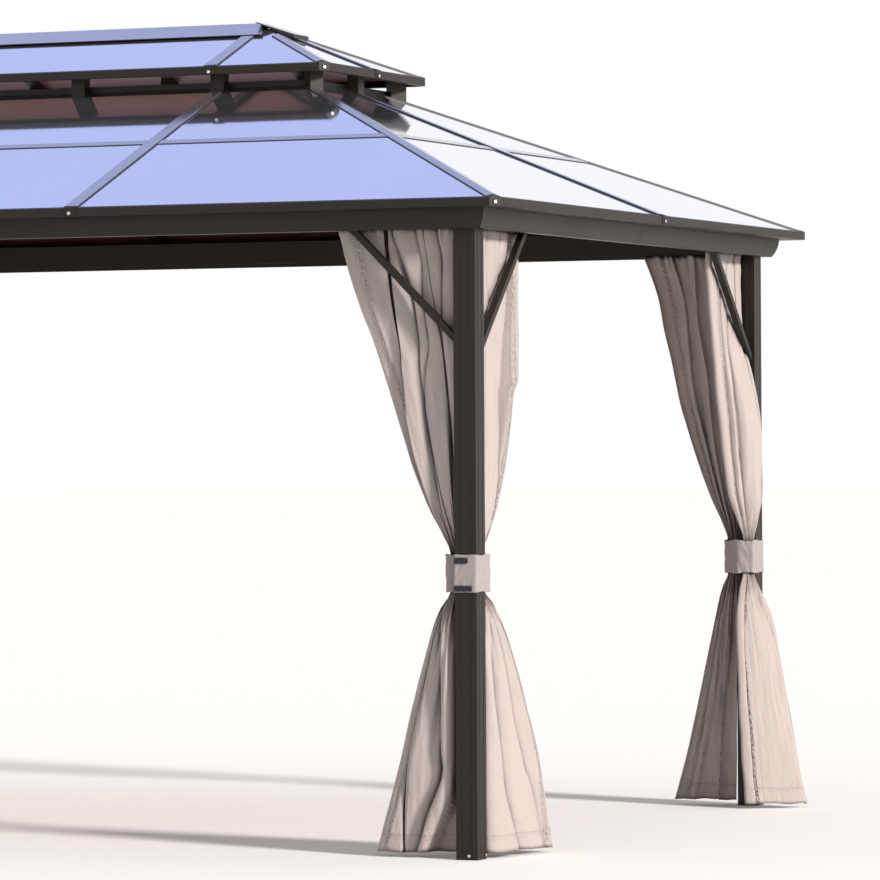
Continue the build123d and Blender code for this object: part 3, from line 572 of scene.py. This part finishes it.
def gathered_curtain(name, panel, cut, seed):
    bpy.ops.object.select_all(action="DESELECT")
    bpy.ops.mesh.primitive_grid_add(x_subdivisions=180, y_subdivisions=125, size=1)
    curtain = bpy.context.object
    curtain.name = curtain.data.name = name
    uv = curtain.data.uv_layers[0].data
    for loop in curtain.data.loops:
        x, y, _ = curtain.data.vertices[loop.vertex_index].co
        uv[loop.index].uv = ((0.5 - x) * cut[0], (y + 0.5) * cut[1])
    rows = {}
    for vertex in curtain.data.vertices:
        u, v = vertex.co.x + 0.5, vertex.co.y + 0.5
        z = hem_height + (curtain_top - hem_height) * v
        row = round(v, 5)
        if row not in rows:
            rows[row] = [at_height(panel["edges"], column, z) for column in range(1, 5)]
        near, far, near_line, far_line = rows[row]
        width = math.hypot(far - near, far_line - near_line)
        folds = panel["above"] if z > tie_middle else panel["below"]
        sway = 0.03 * noise.noise(Vector((2.5 * u, 1.6 * z, seed)))
        bulge, drift = fold_at(folds, min(max(u + sway * math.sin(math.pi * u), 0), 1), z, width)
        depth = cloth_depth - bulge * ease(abs(z - tie_middle), 0.0, tie_reach)
        depth += gathers(u, z, seed) + creases(u, z, seed)
        sag = 6 * MM * noise.noise(Vector((5 * u, 0.5, seed))) * max(0, 1 - z / 0.25)
        line = near_line + (far_line - near_line) * u
        vertex.co = (near + (far - near) * u + drift, line + depth, z + sag)
    return curtain


# %% [markdown]
# The two curtains of the front right and of the back right corner are made once, thickened to cloth, and copied
# to the left corners as mirror images. Mirroring turns a mesh inside out, so its normals are flipped back.

# %% Helpers for placing and copying
def select_only(thing):
    bpy.ops.object.select_all(action="DESELECT")
    thing.select_set(True)
    bpy.context.view_layer.objects.active = thing


def to_corner(thing, along_x, back=False):
    """Takes (along, inward, height) to the front right or the back right corner."""
    for vertex in thing.data.vertices:
        along, inward, z = vertex.co
        x, y = (along, inward) if along_x else (inward, along)
        y = post_corner.y - y
        vertex.co = (post_corner.x - x, y if back else -y, z)


def thicken(thing, thickness):
    select_only(thing)
    bpy.ops.object.mode_set(mode="EDIT")
    bpy.ops.mesh.select_all(action="SELECT")
    bpy.ops.mesh.normals_make_consistent(inside=False)
    bpy.ops.object.mode_set(mode="OBJECT")
    solid = thing.modifiers.new("thickness", "SOLIDIFY")
    solid.thickness = thickness
    solid.offset = 0
    bpy.ops.object.modifier_apply(modifier=solid.name)
    bpy.ops.object.shade_smooth()


def mirrored(first, name, axis):
    """A copy with its own mesh, mirrored through the middle plane that an axis crosses."""
    copy = first.copy()
    copy.data = first.data.copy()
    copy.name = copy.data.name = name
    bpy.context.collection.objects.link(copy)
    for vertex in copy.data.vertices:
        vertex.co[axis] = -vertex.co[axis]
    copy.data.flip_normals()
    return copy


# %% Make the curtains
curtain_thickness = 1.2 * MM
panels = [  # the corner and side, the tables, the flat cloth in metres and the seed of its creases
    ("front_right_long", front_long, (0.50, 2.16), 3.7),
    ("front_right_short", front_short, (0.50, 2.16), 8.2),
    ("back_right_long", back_long, (0.40, 2.16), 5.1),
    ("back_right_short", back_short, (0.42, 2.16), 1.4),
]
for side, panel, cut, seed in panels:
    curtain = gathered_curtain(f"curtain_{side}_side", panel, cut, seed)
    to_corner(curtain, "long" in side, "back" in side)
    print(side, "cloth of", round(sum(face.area for face in curtain.data.polygons), 2), "square metres")
    thicken(curtain, curtain_thickness)
    curtain.data.materials.append(curtain_cloth)
    pair = [curtain, mirrored(curtain, curtain.name.replace("right", "left"), 0)]
    for piece in pair:
        node = piece.name.rsplit("_", 2)[0]
        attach(piece, "root")
        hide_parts(node)

# %% [markdown]
# ## The ties
# A tie is a band of doubled cloth with piped edges. It runs round the outside of the post and the two gathered
# waists, so its plan is a closed line with rounded corners. A grid is wrapped along that line, and its noise
# fades out where its ends meet, so they can be merged. Two dark, matte strips sit on its face at the post.

# %% Plan of a tie
tie_corners = [  # in millimetres from the post's outer corner, along the long side and inwards
    (-2.6, -2.6),
    (82.6, -2.6),
    (84.0, 36.0),
    (128.0, 36.0),
    (128.0, 84.0),
    (60.0, 126.0),
    (-2.6, 118.0),
]
tie_radius = 7
corner_steps = 6


def rounded_plan(points, radius):
    """Points of a closed line, in metres, with each corner turned into a short curve."""
    plan = []
    for before, corner, after in zip(points[-1:] + points[:-1], points, points[1:] + points[:1]):
        before, corner, after = (Vector(p) for p in (before, corner, after))
        start = corner + (before - corner).normalized() * radius
        end = corner + (after - corner).normalized() * radius
        for step in range(corner_steps + 1):
            t = step / corner_steps
            plan.append(start * (1 - t) ** 2 + corner * 2 * t * (1 - t) + end * t * t)
    middle = (plan[-1] + plan[0]) / 2
    return [p * MM for p in [middle, *plan, middle]]


tie_plan = rounded_plan(tie_corners[1:] + tie_corners[:1], tie_radius)
tie_steps = [0.0]
for a, b in zip(tie_plan, tie_plan[1:]):
    tie_steps.append(tie_steps[-1] + (b - a).length)
tie_length = tie_steps[-1]
print("tie", round(tie_length, 3), "m round")


def on_tie(distance):
    """The place and the outward way of the tie's plan at a distance along it."""
    distance = min(max(distance, 0), tie_length - 1e-6)
    k = max(i for i, s in enumerate(tie_steps[:-1]) if s <= distance)
    a, b = tie_plan[k], tie_plan[k + 1]
    way = (b - a).normalized()
    return a + way * (distance - tie_steps[k]), Vector((way.y, -way.x))


# %% Wrap the band
tie_height = tie_top - tie_bottom
tie_thickness = 1.6 * MM
bpy.ops.object.select_all(action="DESELECT")
bpy.ops.mesh.primitive_grid_add(x_subdivisions=160, y_subdivisions=28, size=1)
tie = bpy.context.object
tie.name = tie.data.name = "tie_front_right"
uv = tie.data.uv_layers[0].data
for loop in tie.data.loops:
    x, y, _ = tie.data.vertices[loop.vertex_index].co
    uv[loop.index].uv = ((x + 0.5) * tie_length, (y + 0.5) * tie_height)
ring = {}
for vertex in tie.data.vertices:
    u, v = vertex.co.x + 0.5, vertex.co.y + 0.5
    column = round(u, 5)
    if column not in ring:
        ring[column] = on_tie(u * tie_length)
    middle, outward = ring[column]
    fade = math.sin(math.pi * u) ** 0.5
    slant = noise.noise(Vector((30 * u + 3.5 * v, 2.2 * v - 7 * u, 1.7)))
    drape = 5 * MM * max(slant, -0.2) * fade
    edge = min(v, 1 - v) * tie_height
    piping = 1.6 * MM * math.exp(-((edge - 3 * MM) ** 2) / (2 * MM) ** 2)
    offset = outward * (1.2 * MM + drape + piping)
    wave = 2.5 * MM * math.sin(9 * math.pi * u) * (2 * v - 1) * fade
    vertex.co = (middle.x + offset.x, middle.y + offset.y, tie_bottom + tie_height * v + wave)

# %% Close the band and thicken it
select_only(tie)
bpy.ops.object.mode_set(mode="EDIT")
bpy.ops.mesh.select_all(action="SELECT")
bpy.ops.mesh.remove_doubles(threshold=0.3 * MM)
bpy.ops.object.mode_set(mode="OBJECT")
to_corner(tie, True)
thicken(tie, tie_thickness)
tie.data.materials.append(tie_cloth)
print("tie of", len(tie.data.polygons), "faces")

# %% [markdown]
# The two strips are dark, matte and rough, with a bump of small cells three millimetres across.

# %% Dark strip material
dark_strip_finish, tree, shader = new_material("nylon_hook_tape")
place = add_node(tree, "ShaderNodeTexCoord").outputs["Object"]
loops = add_node(tree, "ShaderNodeTexVoronoi", Vector=place, Scale=1 / (3 * MM))
set_inputs(
    shader,
    Base_Color=add_node(tree, *MIX_COLOURS, Factor=loops, _6="#191620", _7="#2B2733"),
    Normal=add_node(tree, "ShaderNodeBump", Strength=0.5, Distance=1 * MM, Height=loops),
    Roughness=0.9,
)
print(dark_strip_finish.name, "has", len(tree.nodes), "nodes")

# %% Two dark strips
strip_height, strip_thickness = 19 * MM, 1.6 * MM
strip_line = 8.2 * MM  # out from the post's face, on the cloth of the tie
dark_strip_places = ((55 * MM, 50 * MM, 1.026), (48 * MM, 66 * MM, 0.930))  # place along the post, width and height
dark_strips = []
for along, width, height in dark_strip_places:
    bpy.ops.object.select_all(action="DESELECT")
    bpy.ops.mesh.primitive_cube_add(size=1, location=(along, -strip_line, height))
    dark_strip = bpy.context.object
    dark_strip.scale = (width, strip_thickness, strip_height)
    bpy.ops.object.transform_apply(location=True, rotation=True, scale=True)
    bpy.ops.object.mode_set(mode="EDIT")
    bpy.ops.mesh.select_all(action="SELECT")
    bpy.ops.mesh.bevel(offset=0.7 * MM, segments=2)
    bpy.ops.object.mode_set(mode="OBJECT")
    dark_strips.append(dark_strip)
bpy.ops.object.select_all(action="DESELECT")
for dark_strip in dark_strips:
    dark_strip.select_set(True)
bpy.context.view_layer.objects.active = dark_strips[0]
bpy.ops.object.join()
dark_strip = bpy.context.object
dark_strip.name = dark_strip.data.name = "hook_tape_front_right"
to_corner(dark_strip, True)
dark_strip.data.flip_normals()
dark_strip.data.materials.append(dark_strip_finish)
print("hook tape of", len(dark_strip.data.polygons), "faces")

# %% Copy the ties to the other corners
right_pairs = [(tie, dark_strip)]
right_pairs.append([mirrored(piece, piece.name.replace("front", "back"), 1) for piece in (tie, dark_strip)])
for band, strip in right_pairs:
    bands = [band, mirrored(band, band.name.replace("right", "left"), 0)]
    strips = [strip, mirrored(strip, strip.name.replace("right", "left"), 0)]
    for one_band, one_strip in zip(bands, strips):
        for piece in (one_band, one_strip):
            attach(piece, "root")
            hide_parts("curtain_ties")

# %% [markdown]
# ## The screws
# Bright pan-head screws with dark sealing washers hold the clips at the eaves, the plates at the corners and
# the feet of the posts. One screw is modelled lying flat: a cylinder whose top edge is bevelled into a dome,
# with a cross cut by a Boolean modifier. Copies are turned to face outwards and joined into one object.

# %% Screw materials
bright_steel, tree, shader = new_material("zinc_plated_steel")
place = add_node(tree, "ShaderNodeTexCoord").outputs["Object"]
spots = add_node(tree, "ShaderNodeTexNoise", Vector=place, Scale=1 / (2.5 * MM), Detail=2.0)
plating = add_node(tree, *MIX_COLOURS, Factor=spots, _6="#C9CCD0", _7="#DDDFE2")
set_inputs(shader, Base_Color=plating, Metallic=1.0, Roughness=0.28)

sealing_rubber, tree, shader = new_material("moulded_sealing_rubber")
place = add_node(tree, "ShaderNodeTexCoord").outputs["Object"]
dust = add_node(tree, "ShaderNodeTexNoise", Vector=place, Scale=1 / (4 * MM), Detail=3.0)
rubber = add_node(tree, *MIX_COLOURS, Factor=dust, _6="#0F0E10", _7="#1D1B1D")
set_inputs(shader, Base_Color=rubber, Roughness=0.75)
print(bright_steel.name, "and", sealing_rubber.name)

# %% Model one screw
head_top = 4.4 * MM
cross_length, cross_width, cross_depth = 7 * MM, 1.2 * MM, 1.5 * MM


def disc(radius, low, high, bevel, segments):
    """An upright cylinder with a rounded top edge."""
    bpy.ops.object.select_all(action="DESELECT")
    bpy.ops.mesh.primitive_cylinder_add(
        vertices=40, radius=radius, depth=high - low, location=(0, 0, (low + high) / 2)
    )
    piece = bpy.context.object
    bpy.ops.object.transform_apply(location=True, rotation=True, scale=True)
    for edge in piece.data.edges:
        edge.select = all(piece.data.vertices[v].co.z > high - 1e-6 for v in edge.vertices)
    bpy.ops.object.mode_set(mode="EDIT")
    bpy.ops.mesh.bevel(offset=bevel, segments=segments)
    bpy.ops.object.mode_set(mode="OBJECT")
    return piece


head = disc(6.8 * MM, 1.2 * MM, head_top, 2.2 * MM, 5)
washer = disc(10.5 * MM, 0.0, 1.5 * MM, 0.6 * MM, 2)
for turn in (0, 90):
    bpy.ops.object.select_all(action="DESELECT")
    bpy.ops.mesh.primitive_cube_add(size=1, location=(0, 0, head_top), rotation=(0, 0, math.radians(turn)))
    cutter = bpy.context.object
    cutter.scale = (cross_length, cross_width, 2 * cross_depth)
    bpy.ops.object.transform_apply(location=True, rotation=True, scale=True)
    select_only(head)
    cross = head.modifiers.new("cross", "BOOLEAN")
    cross.object = cutter
    bpy.ops.object.modifier_apply(modifier=cross.name)
    bpy.data.objects.remove(cutter)
head.data.materials.append(bright_steel)
washer.data.materials.append(sealing_rubber)
for piece in (head, washer):
    select_only(piece)
    bpy.ops.object.shade_smooth_by_angle(angle=math.radians(35))
print("screw head of", len(head.data.polygons), "faces")

# %% [markdown]
# The screws sit on the 2 mm clips and corner plates, which stand out from both eaves. So the eaves' faces are
# worked out from the box of the CAD model, and each screw gets a place, the way that it faces and a scale.

# %% Where the screws stand
plate = 2 * MM
lower_face = (cad_box[1][0] - plate, cad_box[1][1] - plate)
upper_inset = 1.146  # of the upper eave behind the lower one
upper_face = tuple(half - upper_inset for half in lower_face)
lower_trim, upper_trim = 2.244, 2.817  # heights of the screws on the eaves
rafter_place = 0.580  # from the middle of a long side
corner_cut = 32 * MM  # along each face, to the plate across the corner
foot_screw_height = 0.014
foot_screw_inset = Vector((0.032, 0.070))  # from the post's corner
foot_screw_scale = 0.8

screw_places = []
for (half_x, half_y), height in ((lower_face, lower_trim), (upper_face, upper_trim)):
    for way in (-1, 1):
        for along in (-rafter_place, rafter_place):
            screw_places.append(((along, way * (half_y + plate), height), (0, way, 0), 1))
        screw_places.append(((way * (half_x + plate), 0, height), (way, 0, 0), 1))
    for x_way in (-1, 1):
        for y_way in (-1, 1):
            reach = plate / math.sqrt(2) - corner_cut / 2
            spot = (x_way * (half_x + reach), y_way * (half_y + reach), height + 3 * MM)
            screw_places.append((spot, (x_way, y_way, 0), 1))
foot = post_corner - foot_screw_inset
for x_way in (-1, 1):
    for y_way in (-1, 1):
        side_spot = (x_way * post_corner.x, y_way * foot.y, foot_screw_height)
        front_spot = (x_way * foot.x, y_way * post_corner.y, foot_screw_height)
        screw_places.append((side_spot, (x_way, 0, 0), foot_screw_scale))
        screw_places.append((front_spot, (0, y_way, 0), foot_screw_scale))
print("screws", len(screw_places))


# %% Copy the screws
def turned_copies(model, name, places):
    """Copies of a model, each turned from +Z to a way and moved to a place, joined into one object."""
    bpy.ops.object.select_all(action="DESELECT")
    for spot, way, size in places:
        copy = model.copy()
        copy.data = model.data.copy()
        bpy.context.collection.objects.link(copy)
        turn = Vector((0, 0, 1)).rotation_difference(Vector(way).normalized()).to_matrix().to_4x4()
        copy.data.transform(Matrix.Translation(spot) @ turn @ Matrix.Scale(size, 4))
        copy.select_set(True)
        bpy.context.view_layer.objects.active = copy
    bpy.ops.object.join()
    joined = bpy.context.object
    joined.name = joined.data.name = name
    bpy.data.objects.remove(model)
    return joined


for model, name in ((head, "screw_heads"), (washer, "screw_washers")):
    screws = turned_copies(model, name, screw_places)
    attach(screws, "root")
    print(name, "of", len(screws.data.polygons), "faces")

# %% [markdown]
# ## Floor, light and background
# A pale floor and a pale sky make a plain studio. The sky is white at the horizon and light blue higher up,
# because the roof mirrors both: its front slope shows the blue and its short side the white. Rays from the
# camera and from mirrors see the sky at full strength, and the light it sheds on matte surfaces is set by itself.

# %% Floor
floor_drop = 0.5 * MM  # keeps the floor off the undersides of the feet
bpy.ops.object.select_all(action="DESELECT")
bpy.ops.mesh.primitive_circle_add(vertices=96, radius=180, fill_type="NGON", location=(0, 0, -floor_drop))
floor = bpy.context.object
floor.name = "studio_floor"
pale_floor, tree, shader = new_material("pale_studio_floor")
place = add_node(tree, "ShaderNodeTexCoord").outputs["Object"]
grain = add_node(tree, "ShaderNodeTexNoise", Vector=place, Scale=1 / (25 * MM), Detail=3.0)
paint = add_node(tree, *MIX_COLOURS, Factor=grain, _6="#FAFAFA", _7="#FCFCFC")
set_inputs(shader, Base_Color=paint, Roughness=0.9, Specular_IOR_Level=0.0)
floor.data.materials.append(pale_floor)
print("floor", round(floor.dimensions.x), "m across")

# %% Sky
horizon_top, sky_bottom = 0.25, 0.52  # as the rise of a ray: white below the first, blue above the second
shed_light, full_strength = 0.55, 1.0

scene = bpy.context.scene
scene.view_settings.view_transform = "Standard"
world = bpy.data.worlds.new("studio")
scene.world = world
world.use_nodes = True
tree = world.node_tree
path = add_node(tree, "ShaderNodeLightPath")
seen = path.outputs["Is Camera Ray"]
for kind in ("Is Glossy Ray", "Is Transmission Ray"):
    seen = add_node(tree, "ShaderNodeMath", {"operation": "MAXIMUM"}, _0=seen, _1=path.outputs[kind])
direction = add_node(tree, "ShaderNodeTexCoord").outputs["Generated"]
height = add_node(tree, "ShaderNodeSeparateXYZ", Vector=direction).outputs["Z"]
rise = add_node(tree, "ShaderNodeMapRange", Value=height, From_Min=horizon_top, From_Max=sky_bottom)
blue = add_node(tree, "ShaderNodeMath", {"operation": "MULTIPLY"}, _0=rise, _1=seen)
set_inputs(
    tree.nodes["Background"],
    Color=add_node(tree, *MIX_COLOURS, Factor=blue, _6="#FFFFFF", _7="#C2CDF9"),
    Strength=add_node(tree, "ShaderNodeMapRange", Value=seen, To_Min=shed_light, To_Max=full_strength),
)
print("sky of", len(tree.nodes), "nodes")

# %% [markdown]
# The lamp is a low warm sun with a wide disc, so its shadows are soft. It comes from the right: the short side
# is in full light, the long side in shade, and only the flanks of its folds catch the light.

# %% Sun
sun_way = Vector((0.88, -0.32, 0.36))  # from the gazebo to the sun
sun_data = bpy.data.lights.new("low_sun", "SUN")
sun_data.energy = 4.5
sun_data.angle = math.radians(9)
sun_data.color = linear("#FFF8F1")[:3]
sun = bpy.data.objects.new("low_sun", sun_data)
sun.rotation_euler = sun_way.to_track_quat("Z", "Y").to_euler()
bpy.context.collection.objects.link(sun)
print("sun", round(math.degrees(math.asin(sun_way.normalized().z))), "degrees high")
